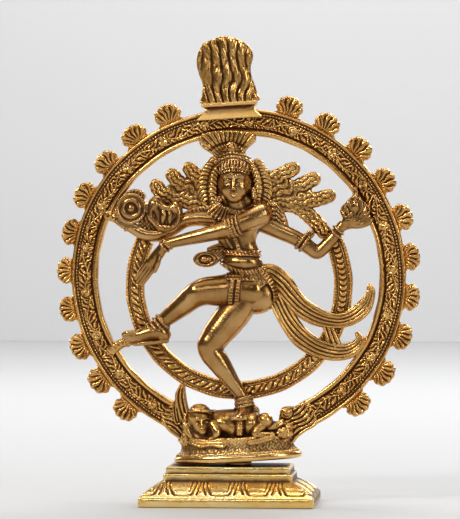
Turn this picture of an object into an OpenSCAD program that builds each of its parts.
// Cast brass figure of a dancer inside two rings of flames, on a lotus base.
// X runs across the figure, -Y is its front, Z is up. The origin is on the table,
// midway between the outermost flames. All sizes are in millimetres.

/* [Base] */
// Height of the top of the rectangular base above the table
base_h = 23; // [21:0.5:25]
// Width of the base at the table
base_w = 104; // [98:1:110]
// Depth of the base at the table, front to back
base_d = 70; // [66:1:76]
// Height of the plain bottom flange of the base
flange_h = 5.5; // [4:0.5:7]
// Distance that the lotus moulding steps in on each side
lotus_step = 13.5; // [11.5:0.5:15]
// Wall thickness of the hollow base casting
base_wall = 3; // [2.5:0.25:4]
// Offset of the base to the side of the ring's centre line
base_x = -4.6; // [-6:0.2:0]

/* [Fixing screw] */
// Thread diameter of the screw that holds the figure to its base
screw_d = 5; // [4:1:6]
// Length of the screw under its head
screw_len = 14; // [12:1:16]

/* [Pedestal] */
// Width of the oval pedestal at its rim
pedestal_w = 77; // [72:1:82]
// Depth of the oval pedestal at its rim
pedestal_d = 40; // [36:1:41]
// Height of the pedestal
pedestal_h = 15.5; // [14:0.5:17]
// Sideways lean of the upper casting on its base, in degrees
lean = 3.3; // [0:0.1:4]

/* [Outer ring] */
// Radius of the opening of the outer ring
outer_ring_r = 84.6; // [83:0.2:86]
// Radial width of the outer ring's band
outer_band = 16; // [15:0.5:17]
// Thickness of the outer ring, front to back
ring_t = 7; // [6:0.5:9]
// Height of the outer ring's centre above the table
ring_z = 139; // [137:0.5:141]
// Angle between neighbouring flames on the outer ring
flame_pitch = 13.1; // [12.8:0.1:13.2]
// How much wider the flames are spaced on the right than on average
pitch_shift = 0.2; // [0:0.1:0.3]
// Number of flames on each side of the finial
flames_per_side = 10; // [10:1:10]
// How far a flame at the side stands out of the ring
flame_h = 9; // [8:0.2:10]
// How much taller a flame at the top or the bottom is
flame_rise = 3; // [0:0.5:4]
// Width of one flame across its lobes
flame_w = 17; // [14:0.5:18]

/* [Finial] */
// Height of the tall flame at the top, above its collar
finial_h = 35.5; // [33:0.5:38]
// Width of the tall flame at its widest
finial_w = 35; // [31:0.5:38]
// Thickness of the tall flame, front to back
finial_t = 9; // [7:0.5:11]

/* [Inner ring] */
// Radius of the opening of the inner ring
inner_ring_r = 57; // [56:0.2:58]
// Radial width of the inner ring's band
inner_band = 11.4; // [10:0.2:12]
// Height of the inner ring's centre above the table
inner_ring_z = 133.2; // [132:0.2:135]

/* [Figure] */
// Height of the head from chin to headband
head_h = 25; // [23:0.5:26]
// Radius of the bare shoulder
shoulder_r = 8; // [7:0.25:8.5]
// Radius of the thighs at the hip
thigh_r = 8.5; // [7.5:0.25:9]
// Radius of the knees
knee_r = 6.8; // [6:0.2:7.5]
// Radius of the ankles
ankle_r = 4.6; // [4:0.1:4.8]
// Width of the flying sashes
sash_w = 11; // [9:0.5:12]
// Thickness of the flying sashes
sash_t = 5; // [4:0.5:6]
// Thickness of the locks of flying hair
hair_t = 4.5; // [3.5:0.5:6]

/* [Hidden] */

$fn = 64;
// Facets of the rounded limbs, which are blended between two spheres
limb_fn = 16;
// Straight lengths that make a half circle at the end of a flat bar
end_facets = 10;
// Small length that carries a cut past a face
cut = 1;

antique_gold = [0.66, 0.47, 0.20];
polished_gold = [0.80, 0.60, 0.28];
yellow_gold = [0.86, 0.68, 0.32];
steel_grey = [0.55, 0.56, 0.58];

// --- base -------------------------------------------------------------------
seat_z = 25.8;                           // height of the base's top in the upper casting's own frame
slab_h = 8.6;                            // two-step upper slab of the base
lotus_h = base_h - flange_h - slab_h;    // height of the curved lotus moulding
slab_inset = 1.5;                        // step between the two ledges of the slab
lotus_steps = 6;                         // straight lengths that make the moulding's curve
screw_head_r = screw_d * 0.85;
screw_head_h = screw_d * 0.7;
washer_r = screw_d * 1.25;
washer_t = 1;
screw_clearance = 0.3;                   // room around the screw's thread in its plain holes
screw_hole_r = screw_d / 2 + screw_clearance;
slot_w = 1.2;                            // width and depth of the slot in the screw's head
lotus_lip = 0.6;                         // narrow ledge at the foot of the lotus moulding
lotus_bow = 0.1;                         // bow of the moulding, as a share of its run
foot_in = 2;                             // how much thicker the wall is at the foot
cavity_share = 0.6;                      // share of the moulding's height that the middle cavity takes

// --- pedestal, in its own leaning frame ---------------------------------------
pedestal_gap = 1.7;                      // height of its boss above the base's top, at its axis
lip_r = 2.1;                             // radius of the polished lip around the pedestal
neck_in = 4.5;                           // how far the waist of the pedestal steps in
neck_low = 6;                            // height at which the hollow neck starts
neck_bow = 2.5;                          // how far the neck flares from its waist to its ends
neck_waist = 1.1;                        // place of the waist, from 0 at the neck's foot to 2 at its top
top_out = 1.5;                           // how far the top edge stands out past the waist
under_z = 1;                             // height of the lip's flat underside
boss_r = 8;
boss_in = 4;                             // how far the boss reaches into the pedestal
tap_depth = 10;

// --- rings ----------------------------------------------------------------------
rim_r = 1.8;                             // round inner rim of the outer ring
groove_r = 3.4;                          // from the outer ring's opening to the groove beside its rim
field_r = 4.6;                           // from the opening to the carved field
field_edge = 4.2;                        // from the carved field to the outer edge
bead_edge = 3.2;                         // from the row of beads to the outer edge
crest_edge = 1.6;                        // from the crest of the outer lip to the outer edge
groove_share = 0.55;                     // depths of the section, as shares of half the thickness
field_share = 0.9;
crest_share = 0.85;
edge_share = 0.5;
back_share = 0.75;
lip_in = 1.2;                            // from an edge of the inner ring to the crest of its lip
lip_groove = 2.6;                        // from an edge of the inner ring to the groove beside its lip
lip_share = 0.6;
lip_groove_share = 0.7;
ring_ends = [-64, 246];                  // angles at which the outer ring meets the pedestal
inner_ring_x = 0.4;
inner_ring_ends = [-206, 27];            // angles at which the inner ring ends under the hands
inner_ring_t = 6;
finial_angle = 90 + lean;
first_flame = 20.4;                      // angle from the finial to the first flame
outer_r = outer_ring_r + outer_band;
lobes = 5;                               // rounded lobes of one flame
neck_half = flame_w * 0.3;
lobe_facets = 6;                         // straight lengths along the edge of one lobe
flame_seat = 0.8;                        // how deep a flame's neck is let into the ring
fan_angle = 240;                         // angle that a flame's fan spans
flame_neck = 0.45;                       // height of the fan's centre, as a share of the flame's
flame_t = 5;
lobe_bulge = 0.08;                       // how far a lobe bulges, as a share of the fan's radius
collar_h = 8;                            // height of the finial's collar
collar_flare = 5;                        // how far the collar's foot spreads over the ring, each way
collar_step = 3;                         // how far its lower ledge stands out
collar_low = 1;                          // height of the lower ledge
collar_mid = 5;                          // height of the upper ledge
collar_share = 0.46;                     // half width of the collar, as a share of the finial's width
tongues = 5;                             // tongues of the tall flame
tongue_w = 5.6;
tongue_root = 0.4;                       // where the tongues start, as a share of the finial's height
tongue_drop = 2.6;                       // how much lower each tongue ends than its inner neighbour
tongue_pull = 0.8;                       // how far the tongues' roots draw together
tongue_lift = 2.8;                       // from the middle tongue's end centre to the finial's tip
// Outline of the tall flame, from its foot on the left up and over, as shares of its half width and height
finial_route = [[-0.85, 0], [-0.8, 0.2], [-1, 0.5], [-0.8, 0.75], [0, 0.9], [0.8, 0.75],
    [0.95, 0.5], [0.8, 0.3], [0.9, 0.1], [0.85, 0]];
end_leaf = [[41, 53.5], [33, 47.5]];     // leaf at each foot of the outer ring, as [x, z] on the right
end_leaf_w = 14.5;
end_scroll = [[30, 55.5], [28.5, 44]];   // scroll where the leaf meets the pedestal
end_scroll_w = 8;

// --- figure: joints as [x, y, z] ---------------------------------------------------
neck_p = [0, -5, 181];
head_p = [-1.5, -8, 195];
chest_p = [1, -5, 167];
waist_p = [4, -5, 152];
hip_p = [9, -5, 133];
shoulder_left = [-15, -5, 172];
shoulder_right = [12, -7, 175];
elbow_drum = [-47, -3, 163];
hand_drum = [-68, -2, 170];
drum_p = [-64, -4, 179.5];
palm_p = [-43.5, -7, 176];
wrist_cross = [-42, -12, 158.5];
fingers_cross = [-55.5, -9, 137];
armlet_p = [38, -5, 160.5];
elbow_fire = [47, -5, 152.5];
hand_fire = [62, -4, 169];
bowl_p = [72, -3, 176];
thigh_raised = [2, -9, 132];
knee_raised = [-23, -12, 130];
ankle_raised = [-45, -9, 110.5];
heel_raised = [-44, -8, 105];
toe_raised = [-68, -5, 103.5];
thigh_standing = [0, -6, 120];
knee_standing = [-16, -9, 96.5];
ankle_standing = [3.5, -6, 69];
foot_standing = [5, -7, 61];

hip_side = hip_p + [6, 2, -3];
hip_low = hip_p + [2, 0, -7];
chest_top = chest_p + [0, 0, 6];
bend_cross = [0, -14, 168.5];
palm_cross = [-51, -10, 146.5];
thumb_cross = [[-51, -10, 148], [-59, -8, 141]];
bend_drum = [-31, -3, 172];
tip_drum = [-74, -2, 174];
root_fire = [15, -4, 170];
tip_fire = [67, -4, 173];
palm_low = [-43.5, -7, 173];
instep_raised = [-56, -7, 105];
toe_standing = foot_standing + [0, -6, -2];
pleats = [[0, -9, 136], [15, -8, 138], [20, -6, 128]];
brooch_p = [-7, -10, 184];

// Radii at those joints
neck_r = 4.5;
chest_top_r = 6;
back_r = 7;
chest_r = 12;
waist_r = 9;
hip_r = 11.5;
hip_side_r = 8.5;
hip_low_r = 9.6;
elbow_r = 4.4;
upper_arm_r = 4.8;
bend_r = 5.6;
wrist_r = 3.6;
finger_r = 3;
heel_r = 3;
toe_r = 2.2;
foot_r = 3.8;
palm_r = 9;
fingertip_r = 1.8;
finger_pitch = 3.8;
pleat_r = [8, 9, 6];
brooch_r = 3.2;
head_half = [8.4, 8.6];                  // half width and half depth of the head

// Crown fan: its stem, and the flutes that spread from one point
fan_stem = [[-9, 206], [13, 9]];
fan_root = [-6, 213];
fan_front = -10;
fan_back = -3;
flutes = 9;
flute_w = 4.4;
flute_ends = [22, 158];
flute_len = [8.5, 6];                    // length of an upright flute, and what a level one has more
crown_jewel_p = [-3.8, -9, 215.5];
crown_jewel_r = 2.6;

// Small round pieces: places, radii and thicknesses
ear_points = [[-11, 196], [10.5, 193]];
ear_front = -8;
ear_t = 4;
ear_r = 3.4;
belt_r = 9;
belt_wire_r = 2.2;
belt_flat = 0.85;
belt_tilt = -2;
bangle_r = 5;
bangle_t = 2.6;
bangle_points = [[-40, -11.5, 158.5], [-43.5, -11.5, 157]];
bangle_turn = 70;
cuff_r = 4.6;
cuff_t = 3;
palm_cuff_p = [-42, -8, 163.5];
fire_cuff_p = [57.5, -4.5, 164];
fire_cuff_turn = 40;
armlet_r = 5.8;
armlet_t = 5;
armlet_turn = 125;
anklet_r = [5.6, 5.2];
anklet_t = [3, 3.4];
anklet_points = [[4.6, -6.5, 63.5], [-44.5, -8.5, 108.5]];
anklet_turn = 35;

// Flat bars as [start, end, width], with start and end as [x, z]
hair_bars = [[[-15, 190], [-13, 203], 15], [[12, 190], [9, 203], 14], [[-12, 205], [7, 205], 10],
    [[-18, 183], [-16, 190], 13], [[-22, 178], [-12, 180], 8]];
medallion_bars = [[[-21.5, 148.5], [-16, 149.5], 9.6], [[-17, 149.5], [-6, 153.5], 5.5],
    [[-19, 155], [-7, 154], 5.5]];
strut_bars = [[[-81, 95.5], [-67, 101.5], 5.5], [[-76, 174], [-72, 172], 6]];
upper_curl = [[80, 123], [79.5, 130.5], 6];
lower_curl = [[66, 95], [69, 101.5], 5.5];
hair_half_t = 4;
sash_fronts = [-7, -8];
medallion_ends = [-9, -4];
strut_ends = [-4, 1];

// Pleated collar: the bars that spread from one point below the neck
collar_ends = [-15, -10];
collar_root = [-4, 180];
collar_bars = 5;
collar_from = 205;
collar_pitch = 22;
collar_len = 8;
collar_bar_w = 3.6;

// Half section of the drum from its face to its back, as [radius, depth]
drum_section = [[0, 1.5], [2.6, 1.5], [2.6, 0.6], [4.4, 0.6], [4.4, 2.6], [6.4, 3.4], [8.2, 2.6],
    [9, 0], [8, -2.6], [4, -5], [0, -5]];

// Bowl of fire: a half ball with three tongues of flame
bowl_r = 9.5;
bowl_flat = 0.6;
bowl_cut = 12;
fire_pitch = 4.6;
fire_lean = [5, 2];
fire_h = 6;
fire_drop = 2;
fire_r = [3, 2];

// The small figure under the dancer's foot: each limb as [start, end, start radius, end radius]
dwarf_limbs = [[[-14, -4, 53], [9, -5, 53], 6, 6.5], [[9, -5, 53], [17, -5, 51.5], 6.5, 6.4],
    [[17, -6, 52], [10, -9, 45], 5, 3.4], [[-12, -7, 50], [-7, -10, 44], 4, 3],
    [[-24, -9, 42.5], [-7, -10, 43], 3.2, 2.6], [[9, -10, 42.5], [24, -8, 44], 2.6, 3.2]];
dwarf_head_p = [-21.5, -7, 54.5];
dwarf_head_half = [8, 7.5, 9];
plume_route = [[-33, 71], [-35.5, 64], [-34, 56], [-31, 49], [-30, 42]];
plume_w = 6.5;
plume_t = 6;

// Route of the centre line of each sash, as [x, z]
upper_route = [[17, 139], [28, 137], [34, 130], [40, 122], [50, 115.5], [62, 113], [73, 116], [81, 124]];
lower_route = [[22, 131], [26.5, 118], [31.5, 108], [39, 99.5], [48, 94.5], [60, 93], [70, 95], [76, 101]];
// Locks of flying hair: root and tip, as [x, z]
left_locks = [[[-26, 198], [-30, 204.5]], [[-34, 193], [-40.5, 200.5]], [[-45, 187], [-50, 194.5]]];
right_locks = [[[20, 197], [32.5, 203.5]], [[30, 189], [45.5, 197]], [[38, 181], [54.5, 186.8]],
    [[36, 181], [51, 167]]];
lock_w = 8.2;
// Outline of the hair that the locks grow from
left_root = [[-20, 202], [-28, 198], [-38, 193], [-48, 188], [-47, 183], [-36, 184.5], [-25, 188], [-20, 187]];
right_root = [[15, 202], [24, 199], [36, 193], [46, 185], [46, 181], [36, 181], [30.5, 178.5],
    [30, 171], [24, 166], [19, 170], [15, 184]];

// --- helpers ------------------------------------------------------------------------
// A point at radius r and angle a in the plane of the rings
function ring_point(r, a) = [r * cos(a), r * sin(a)];
// A smooth point between p1 and p2 of four neighbours, at t from 0 to 1
function blend(p0, p1, p2, p3, t) = 0.5 * (2 * p1 + (p2 - p0) * t
    + (2 * p0 - 5 * p1 + 4 * p2 - p3) * pow(t, 2) + (3 * p1 - p0 - 3 * p2 + p3) * pow(t, 3));
function clamp_at(i, n) = max(0, min(n - 1, i));
// A smooth curve through the points of a route, with k points on each stretch
function smooth(route, k = 4) = let (n = len(route))
    [for (i = [0 : n - 2], j = [0 : k - 1])
        blend(route[clamp_at(i - 1, n)], route[i], route[i + 1], route[clamp_at(i + 2, n)], j / k),
     route[n - 1]];
// The unit normal of a curve at its point i
function normal_at(curve, i) = let (n = len(curve),
    d = curve[clamp_at(i + 1, n)] - curve[clamp_at(i - 1, n)]) [-d[1], d[0]] / norm(d);

// A flat shape drawn in X and Z, standing between two depths
module upright(front, back) {
    translate([0, back, 0])
        rotate([90, 0, 0])
            linear_extrude(back - front)
                children();
}

// A flat bar with round ends: a half circle at each end, drawn as one outline
module bar(a, b, w) {
    turn = atan2(b[1] - a[1], b[0] - a[0]);
    polygon(concat(
        [for (i = [0 : end_facets]) b + ring_point(w / 2, turn - 90 + 180 * i / end_facets)],
        [for (i = [0 : end_facets]) a + ring_point(w / 2, turn + 90 + 180 * i / end_facets)]));
}

// A flat ribbon of even width along a route
module ribbon(route, w) {
    curve = smooth(route);
    n = len(curve);
    polygon(concat(
        [for (i = [0 : n - 1]) curve[i] + normal_at(curve, i) * w / 2],
        [for (i = [n - 1 : -1 : 0]) curve[i] - normal_at(curve, i) * w / 2]));
}

// A rounded limb from a to b
module limb(a, b, ra, rb) {
    hull() {
        translate(a)
            sphere(ra, $fn = limb_fn);
        translate(b)
            sphere(rb, $fn = limb_fn);
    }
}

// An egg-shaped lump with its own half sizes
module lump(p, half_size) {
    translate(p)
        scale(half_size)
            sphere(1, $fn = 24);
}

// Stands the upper casting on the base, whatever the base's height
module upper() {
    translate([0, 0, base_h - seat_z])
        children();
}

// Places its children in the leaning frame of the pedestal
module leaning() {
    translate([0, 0, seat_z + pedestal_gap])
        rotate([0, -lean, 0])
            children();
}

// --- base ------------------------------------------------------------------------------
// Half outline of the base's moulding, from the axis out and up, for a given half width
function moulding(half) = concat(
    [[0, 0], [half, 0], [half, flange_h]],
    [for (i = [0 : lotus_steps]) let (t = i / lotus_steps)
        [half - lotus_lip - (lotus_step - lotus_lip) * (t - lotus_bow * sin(180 * t)), flange_h + lotus_h * t]],
    [[half - lotus_step, base_h - slab_h], [half - lotus_step, base_h - slab_h / 2],
     [half - lotus_step - slab_inset, base_h - slab_h / 2], [half - lotus_step - slab_inset, base_h],
     [0, base_h]]);

// A moulded block: the outline run along both directions, with mitred corners
module moulded_block(w, d) {
    intersection() {
        rotate([90, 0, 0])
            linear_extrude(d, center = true)
                union() {
                    polygon(moulding(w / 2));
                    mirror([1, 0])
                        polygon(moulding(w / 2));
                }
        rotate([90, 0, 90])
            linear_extrude(w, center = true)
                union() {
                    polygon(moulding(d / 2));
                    mirror([1, 0])
                        polygon(moulding(d / 2));
                }
    }
}

module base_casting() {
    top_w = base_w - 2 * (lotus_step + slab_inset + base_wall);
    top_d = base_d - 2 * (lotus_step + slab_inset + base_wall);
    low_w = base_w - 2 * (base_wall + foot_in);
    low_d = base_d - 2 * (base_wall + foot_in);
    mid_w = (top_w + low_w) / 2;
    mid_d = (top_d + low_d) / 2;
    color(yellow_gold)
        translate([base_x, 0, 0])
            difference() {
                moulded_block(base_w, base_d);
                translate([-low_w / 2, -low_d / 2, -cut])
                    cube([low_w, low_d, flange_h + cut]);
                translate([-mid_w / 2, -mid_d / 2, 0])
                    cube([mid_w, mid_d, flange_h + lotus_h * cavity_share]);
                translate([-top_w / 2, -top_d / 2, 0])
                    cube([top_w, top_d, base_h - base_wall]);
                translate([-base_x, 0, 0])
                    cylinder(h = base_h + cut, r = screw_hole_r);
            }
}

module base_screw() {
    color(steel_grey)
        translate([0, 0, base_h - base_wall - washer_t]) {
            cylinder(h = screw_len, d = screw_d);
            translate([0, 0, -screw_head_h])
                difference() {
                    cylinder(h = screw_head_h, r = screw_head_r);
                    translate([-screw_head_r, -slot_w / 2, -cut])
                        cube([2 * screw_head_r, slot_w, cut + slot_w]);
                }
        }
}

module base_washer() {
    color(steel_grey)
        translate([0, 0, base_h - base_wall - washer_t])
            difference() {
                cylinder(h = washer_t, r = washer_r);
                translate([0, 0, -cut])
                    cylinder(h = washer_t + 2 * cut, r = screw_hole_r);
            }
}

// --- pedestal ------------------------------------------------------------------------------
// Half section of the pedestal: boss-side, polished lip, hollow neck and top edge
function pedestal_section() = let (half = pedestal_w / 2, top = half - neck_in + top_out) concat(
    [[0, under_z], [half - lip_r, under_z]],
    [for (a = [-60 : 30 : 60]) [half - lip_r + lip_r * cos(a), under_z + lip_r + lip_r * sin(a)]],
    [for (t = [0.2 : 0.2 : 0.8])
        [half - neck_in + neck_bow * pow(2 * t - neck_waist, 2),
            neck_low + t * (pedestal_h - neck_low - under_z)]],
    [[top, pedestal_h], [0, pedestal_h]]);

module pedestal() {
    color(antique_gold) upper()
        difference() {
            union() {
                leaning()
                    scale([1, pedestal_d / pedestal_w, 1])
                        rotate_extrude($fn = 48)
                            polygon(pedestal_section());
                translate([0, 0, seat_z])
                    cylinder(h = pedestal_gap + boss_in, r = boss_r);
            }
            cylinder(h = seat_z + tap_depth, d = screw_d);
        }
}

// --- rings ------------------------------------------------------------------------------
// Half section of the outer ring from its round rim out to its plain edge, as [radius, depth]
function outer_section() = let (t = ring_t / 2) concat(
    [for (a = [90 : 30 : 270]) [outer_ring_r + rim_r + rim_r * cos(a), rim_r * sin(a)]],
    [[outer_ring_r + groove_r, -t * groove_share], [outer_ring_r + field_r, -t * field_share],
     [outer_ring_r + outer_band / 2, -t], [outer_r - field_edge, -t * field_share],
     [outer_r - bead_edge, -t * groove_share], [outer_r - crest_edge, -t * crest_share],
     [outer_r, -t * edge_share], [outer_r, t * edge_share], [outer_r - crest_edge, t * back_share],
     [outer_ring_r + field_r, t * back_share]]);

// Half section of the inner ring, as [radius, depth]
function inner_section() = let (t = inner_ring_t / 2, r = inner_ring_r, b = inner_band)
    [[r, t * lip_share], [r, -t * lip_share], [r + lip_in, -t], [r + lip_groove, -t * lip_groove_share],
     [r + b / 2, -t], [r + b - lip_groove, -t * lip_groove_share], [r + b - lip_in, -t],
     [r + b, -t * lip_share], [r + b, t * lip_share]];

// A section swept round the rings' axis between two angles
module swept_ring(section, ends) {
    rotate([90, 0, 0])
        rotate([0, 0, ends[0]])
            rotate_extrude(angle = ends[1] - ends[0], $fn = 120)
                polygon([for (p = section) [p[0], -p[1]]]);
}

module outer_ring() {
    color(antique_gold) upper()
        translate([0, 0, ring_z])
            swept_ring(outer_section(), ring_ends);
}

module inner_ring() {
    color(antique_gold) upper()
        translate([inner_ring_x, 0, inner_ring_z])
            swept_ring(inner_section(), inner_ring_ends);
}

// Outline of one flame: a neck, and a fan whose edge bulges once for each lobe
function flame_outline(reach) = let (rise = reach * flame_neck, n = lobes * lobe_facets) concat(
    [[neck_half, -flame_seat]],
    [for (i = [0 : n]) let (t = i / n, a = 90 - fan_angle / 2 + fan_angle * t,
        r = 1 - lobe_bulge * (1 - pow(sin(180 * lobes * t), 2)))
        [flame_w / 2 * r * cos(a), rise + (reach - rise) * r * sin(a)]],
    [[-neck_half, -flame_seat]]);

// One flame, seated on the ring's edge
module flame(angle) {
    reach = flame_h + flame_rise * abs(sin(angle));
    color(polished_gold) upper()
        translate([0, 0, ring_z])
            rotate([0, 90 - angle, 0])
                upright(-flame_t / 2, flame_t / 2)
                    translate([0, outer_r])
                        polygon(flame_outline(reach));
}

// Angle of flame number k: 1 to 10 run down the left from the finial, 11 to 20 down the right
function flame_angle(k) = k <= flames_per_side
    ? finial_angle + first_flame + (k - 1) * (flame_pitch - pitch_shift)
    : finial_angle - first_flame - (k - 1 - flames_per_side) * (flame_pitch + pitch_shift);

// Places its children at the top of the outer ring, with +Z along the finial
module on_finial() {
    translate([0, 0, ring_z])
        rotate([0, 90 - finial_angle, 0])
            translate([0, 0, outer_r])
                children();
}

module finial_collar() {
    half = finial_w * collar_share;
    color(antique_gold) upper()
        difference() {
            on_finial()
                upright(-finial_t / 2, finial_t / 2)
                    polygon([[-half - collar_flare, -collar_flare], [-half - collar_step, collar_low],
                        [-half, collar_mid], [1 - half, collar_h], [half - 1, collar_h], [half, collar_mid],
                        [half + collar_step, collar_low], [half + collar_flare, -collar_flare]]);
            translate([0, 0, ring_z])
                rotate([90, 0, 0])
                    cylinder(h = 4 * finial_t, r = outer_r, center = true, $fn = 120);
        }
}

module top_finial() {
    half = finial_w / 2;
    middle = (tongues - 1) / 2;
    color(polished_gold) upper()
        on_finial()
            translate([0, 0, collar_h])
                upright(-finial_t / 2, finial_t / 2)
                    union() {
                        polygon(smooth([for (p = finial_route) [half * p[0], finial_h * p[1]]]));
                        for (i = [0 : tongues - 1]) {
                            x = (i - middle) * finial_w / (tongues + 1);
                            tip = finial_h - tongue_lift - abs(i - middle) * tongue_drop;
                            bar([x * tongue_pull, finial_h * tongue_root], [x, tip], tongue_w);
                        }
                    }
}

// Scrolled leafy end of the outer ring, standing on the pedestal; side is -1 or 1
module ring_end(side) {
    color(antique_gold) upper()
        upright(-ring_t / 2, ring_t / 2)
            mirror([side < 0 ? 1 : 0, 0])
                union() {
                    bar(end_leaf[0], end_leaf[1], end_leaf_w);
                    bar(end_scroll[0], end_scroll[1], end_scroll_w);
                }
}

module ring_end_left() {
    ring_end(-1);
}

module ring_end_right() {
    ring_end(1);
}

// --- figure ------------------------------------------------------------------------------
module torso() {
    color(polished_gold) upper() {
        limb(neck_p, chest_top, neck_r, chest_top_r);
        limb(shoulder_left, shoulder_right, back_r, shoulder_r);
        limb(chest_p, waist_p, chest_r, waist_r);
        limb(waist_p, hip_p, waist_r, hip_r);
        limb(hip_p, hip_side, hip_r, hip_side_r);
        limb(hip_p, hip_low, hip_r, hip_low_r);
    }
}

module head() {
    color(polished_gold) upper()
        lump(head_p, [head_half[0], head_half[1], head_h / 2]);
}

module crown_fan() {
    color(antique_gold) upper() {
        upright(fan_front, fan_back)
            union() {
                translate(fan_stem[0])
                    square(fan_stem[1]);
                for (i = [0 : flutes - 1]) {
                    a = flute_ends[0] + i * (flute_ends[1] - flute_ends[0]) / (flutes - 1);
                    bar(fan_root, fan_root + ring_point(flute_len[0] + flute_len[1] * abs(cos(a)), a), flute_w);
                }
            }
        translate(crown_jewel_p)
            sphere(crown_jewel_r);
    }
}

// Draws each flat bar of a list
module bars(list) {
    union() {
        for (b = list)
            bar(b[0], b[1], b[2]);
    }
}

module hair_mass() {
    color(antique_gold) upper()
        upright(-hair_half_t, hair_half_t)
            bars(hair_bars);
}

module hair_wing(locks, root) {
    color(antique_gold) upper()
        upright(-hair_t / 2, hair_t / 2)
            union() {
                for (lock = locks)
                    bar(lock[0], lock[1], lock_w);
                polygon(root);
            }
}

module hair_wing_left() {
    hair_wing(left_locks, left_root);
}

module hair_wing_right() {
    hair_wing(right_locks, right_root);
}

module ear_discs() {
    color(polished_gold) upper() {
        for (p = ear_points)
            translate([p[0], ear_front, p[1]])
                rotate([90, 0, 0])
                    cylinder(h = ear_t, r = ear_r);
        translate(brooch_p)
            sphere(brooch_r);
    }
}

module necklace() {
    color(antique_gold) upper()
        upright(collar_ends[0], collar_ends[1])
            union() {
                for (i = [0 : collar_bars - 1]) {
                    tip = collar_root + ring_point(collar_len, collar_from + i * collar_pitch);
                    bar(collar_root, tip, collar_bar_w);
                }
            }
}

module waist_belt() {
    color(antique_gold) upper()
        translate(waist_p)
            rotate([0, belt_tilt, 0])
                scale([1, belt_flat, 1])
                    rotate_extrude($fn = 36)
                        translate([belt_r, 0])
                            circle(belt_wire_r, $fn = 12);
}

module skirt() {
    color(antique_gold) upper() {
        limb(pleats[0], pleats[1], pleat_r[0], pleat_r[1]);
        limb(pleats[1], pleats[2], pleat_r[1], pleat_r[2]);
    }
}

// A flying sash along its route, with the curl at its tip
module sash(route, curl, front) {
    color(antique_gold) upper()
        upright(front, front + sash_t)
            union() {
                ribbon(route, sash_w);
                bar(curl[0], curl[1], curl[2]);
            }
}

module sash_upper() {
    sash(upper_route, upper_curl, sash_fronts[0]);
}

module sash_lower() {
    sash(lower_route, lower_curl, sash_fronts[1]);
}

module medallion() {
    color(polished_gold) upper()
        upright(medallion_ends[0], medallion_ends[1])
            bars(medallion_bars);
}

module drum_arm() {
    color(polished_gold) upper() {
        limb(shoulder_left, bend_drum, neck_r, elbow_r);
        limb(bend_drum, elbow_drum, elbow_r, elbow_r);
        limb(elbow_drum, hand_drum, elbow_r, wrist_r);
        limb(hand_drum, tip_drum, wrist_r, wrist_r);
    }
}

module drum() {
    color(polished_gold) upper()
        translate(drum_p)
            rotate([90, 0, 0])
                rotate_extrude($fn = 48)
                    polygon(drum_section);
}

module raised_palm() {
    first = [-1.6 * finger_pitch, -2, 0];
    color(polished_gold) upper() {
        limb(palm_low, palm_p, palm_r - 1, palm_r);
        for (i = [0 : 3])
            limb(palm_p + first + [i * finger_pitch, 0, palm_r / 2],
                palm_p + first + [i * finger_pitch, 0, palm_r + 1], toe_r, fingertip_r);
    }
}

module cross_arm() {
    color(polished_gold) upper() {
        limb(shoulder_right, bend_cross, shoulder_r, bend_r);
        limb(bend_cross, wrist_cross, bend_r, wrist_r);
    }
}

module cross_hand() {
    color(polished_gold) upper() {
        limb(wrist_cross, palm_cross, wrist_r, elbow_r);
        limb(palm_cross, fingers_cross, elbow_r, finger_r);
        limb(thumb_cross[0], thumb_cross[1], wrist_r, toe_r);
    }
}

// A round band, turned from upright by an angle about Y
module cuff(p, turn, h, r) {
    translate(p)
        rotate([0, turn, 0])
            cylinder(h = h, r = r, center = true);
}

module bangles() {
    color(antique_gold) upper() {
        for (p = bangle_points)
            cuff(p, bangle_turn, bangle_t, bangle_r);
        cuff(palm_cuff_p, 0, cuff_t, cuff_r);
        cuff(fire_cuff_p, fire_cuff_turn, cuff_t, cuff_r);
    }
}

module fire_arm() {
    color(polished_gold) upper() {
        limb(root_fire, armlet_p, chest_top_r, upper_arm_r);
        limb(armlet_p, elbow_fire, upper_arm_r, elbow_r);
        limb(elbow_fire, hand_fire, elbow_r, wrist_r);
        limb(hand_fire, tip_fire, wrist_r, wrist_r);
    }
}

module armlet() {
    color(antique_gold) upper()
        cuff(armlet_p, armlet_turn, armlet_t, armlet_r);
}

module fire_bowl() {
    color(polished_gold) upper()
        translate(bowl_p) {
            difference() {
                scale([1, bowl_flat, 1])
                    sphere(bowl_r, $fn = 24);
                translate([-bowl_cut, -bowl_cut, 0])
                    cube([2 * bowl_cut, 2 * bowl_cut, bowl_cut]);
            }
            for (i = [-1 : 1])
                limb([i * fire_pitch, 0, 0], [i * fire_lean[0] - fire_lean[1], 0, fire_h - abs(i) * fire_drop],
                    fire_r[0], fire_r[1]);
        }
}

module raised_leg() {
    color(polished_gold) upper() {
        limb(thigh_raised, knee_raised, thigh_r, knee_r);
        limb(knee_raised, ankle_raised, knee_r, ankle_r);
        limb(ankle_raised, heel_raised, ankle_r, heel_r);
        limb(heel_raised, toe_raised, heel_r, toe_r);
        limb(ankle_raised, instep_raised, ankle_r, heel_r);
    }
}

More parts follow.
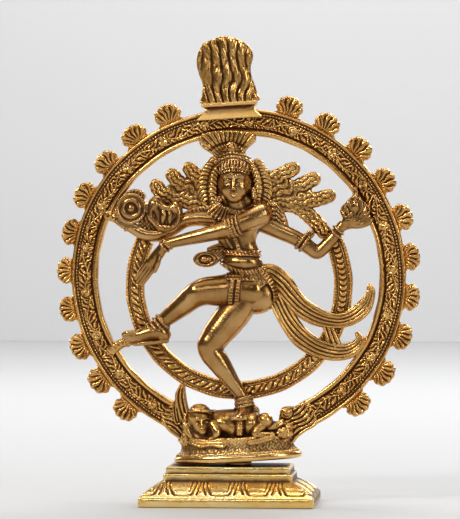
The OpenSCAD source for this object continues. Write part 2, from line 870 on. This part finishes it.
module standing_leg() {
    color(polished_gold) upper() {
        limb(thigh_standing, knee_standing, thigh_r, knee_r);
        limb(knee_standing, ankle_standing, knee_r, ankle_r);
        limb(ankle_standing, foot_standing, ankle_r, foot_r);
        limb(foot_standing, toe_standing, foot_r, heel_r);
    }
}

module anklets() {
    color(antique_gold) upper() {
        cuff(anklet_points[0], 0, anklet_t[0], anklet_r[0]);
        cuff(anklet_points[1], anklet_turn, anklet_t[1], anklet_r[1]);
    }
}

module dwarf_body() {
    color(antique_gold) upper()
        for (l = dwarf_limbs)
            limb(l[0], l[1], l[2], l[3]);
}

module ring_struts() {
    color(antique_gold) upper()
        upright(strut_ends[0], strut_ends[1])
            bars(strut_bars);
}

module dwarf_head() {
    color(antique_gold) upper()
        lump(dwarf_head_p, dwarf_head_half);
}

module serpent() {
    color(antique_gold) upper()
        upright(-plume_t, 0)
            ribbon(plume_route, plume_w);
}

base_casting();
base_screw();
base_washer();
pedestal();
outer_ring();
flame(flame_angle(1));  // flame_01
flame(flame_angle(2));  // flame_02
flame(flame_angle(3));  // flame_03
flame(flame_angle(4));  // flame_04
flame(flame_angle(5));  // flame_05
flame(flame_angle(6));  // flame_06
flame(flame_angle(7));  // flame_07
flame(flame_angle(8));  // flame_08
flame(flame_angle(9));  // flame_09
flame(flame_angle(10));  // flame_10
flame(flame_angle(11));  // flame_11
flame(flame_angle(12));  // flame_12
flame(flame_angle(13));  // flame_13
flame(flame_angle(14));  // flame_14
flame(flame_angle(15));  // flame_15
flame(flame_angle(16));  // flame_16
flame(flame_angle(17));  // flame_17
flame(flame_angle(18));  // flame_18
flame(flame_angle(19));  // flame_19
flame(flame_angle(20));  // flame_20
finial_collar();
top_finial();
inner_ring();
ring_end_left();
ring_end_right();
torso();
head();
crown_fan();
hair_mass();
hair_wing_left();
hair_wing_right();
ear_discs();
necklace();
waist_belt();
skirt();
sash_upper();
sash_lower();
medallion();
drum_arm();
drum();
raised_palm();
cross_arm();
cross_hand();
bangles();
fire_arm();
armlet();
fire_bowl();
raised_leg();
standing_leg();
anklets();
dwarf_body();
ring_struts();
dwarf_head();
serpent();
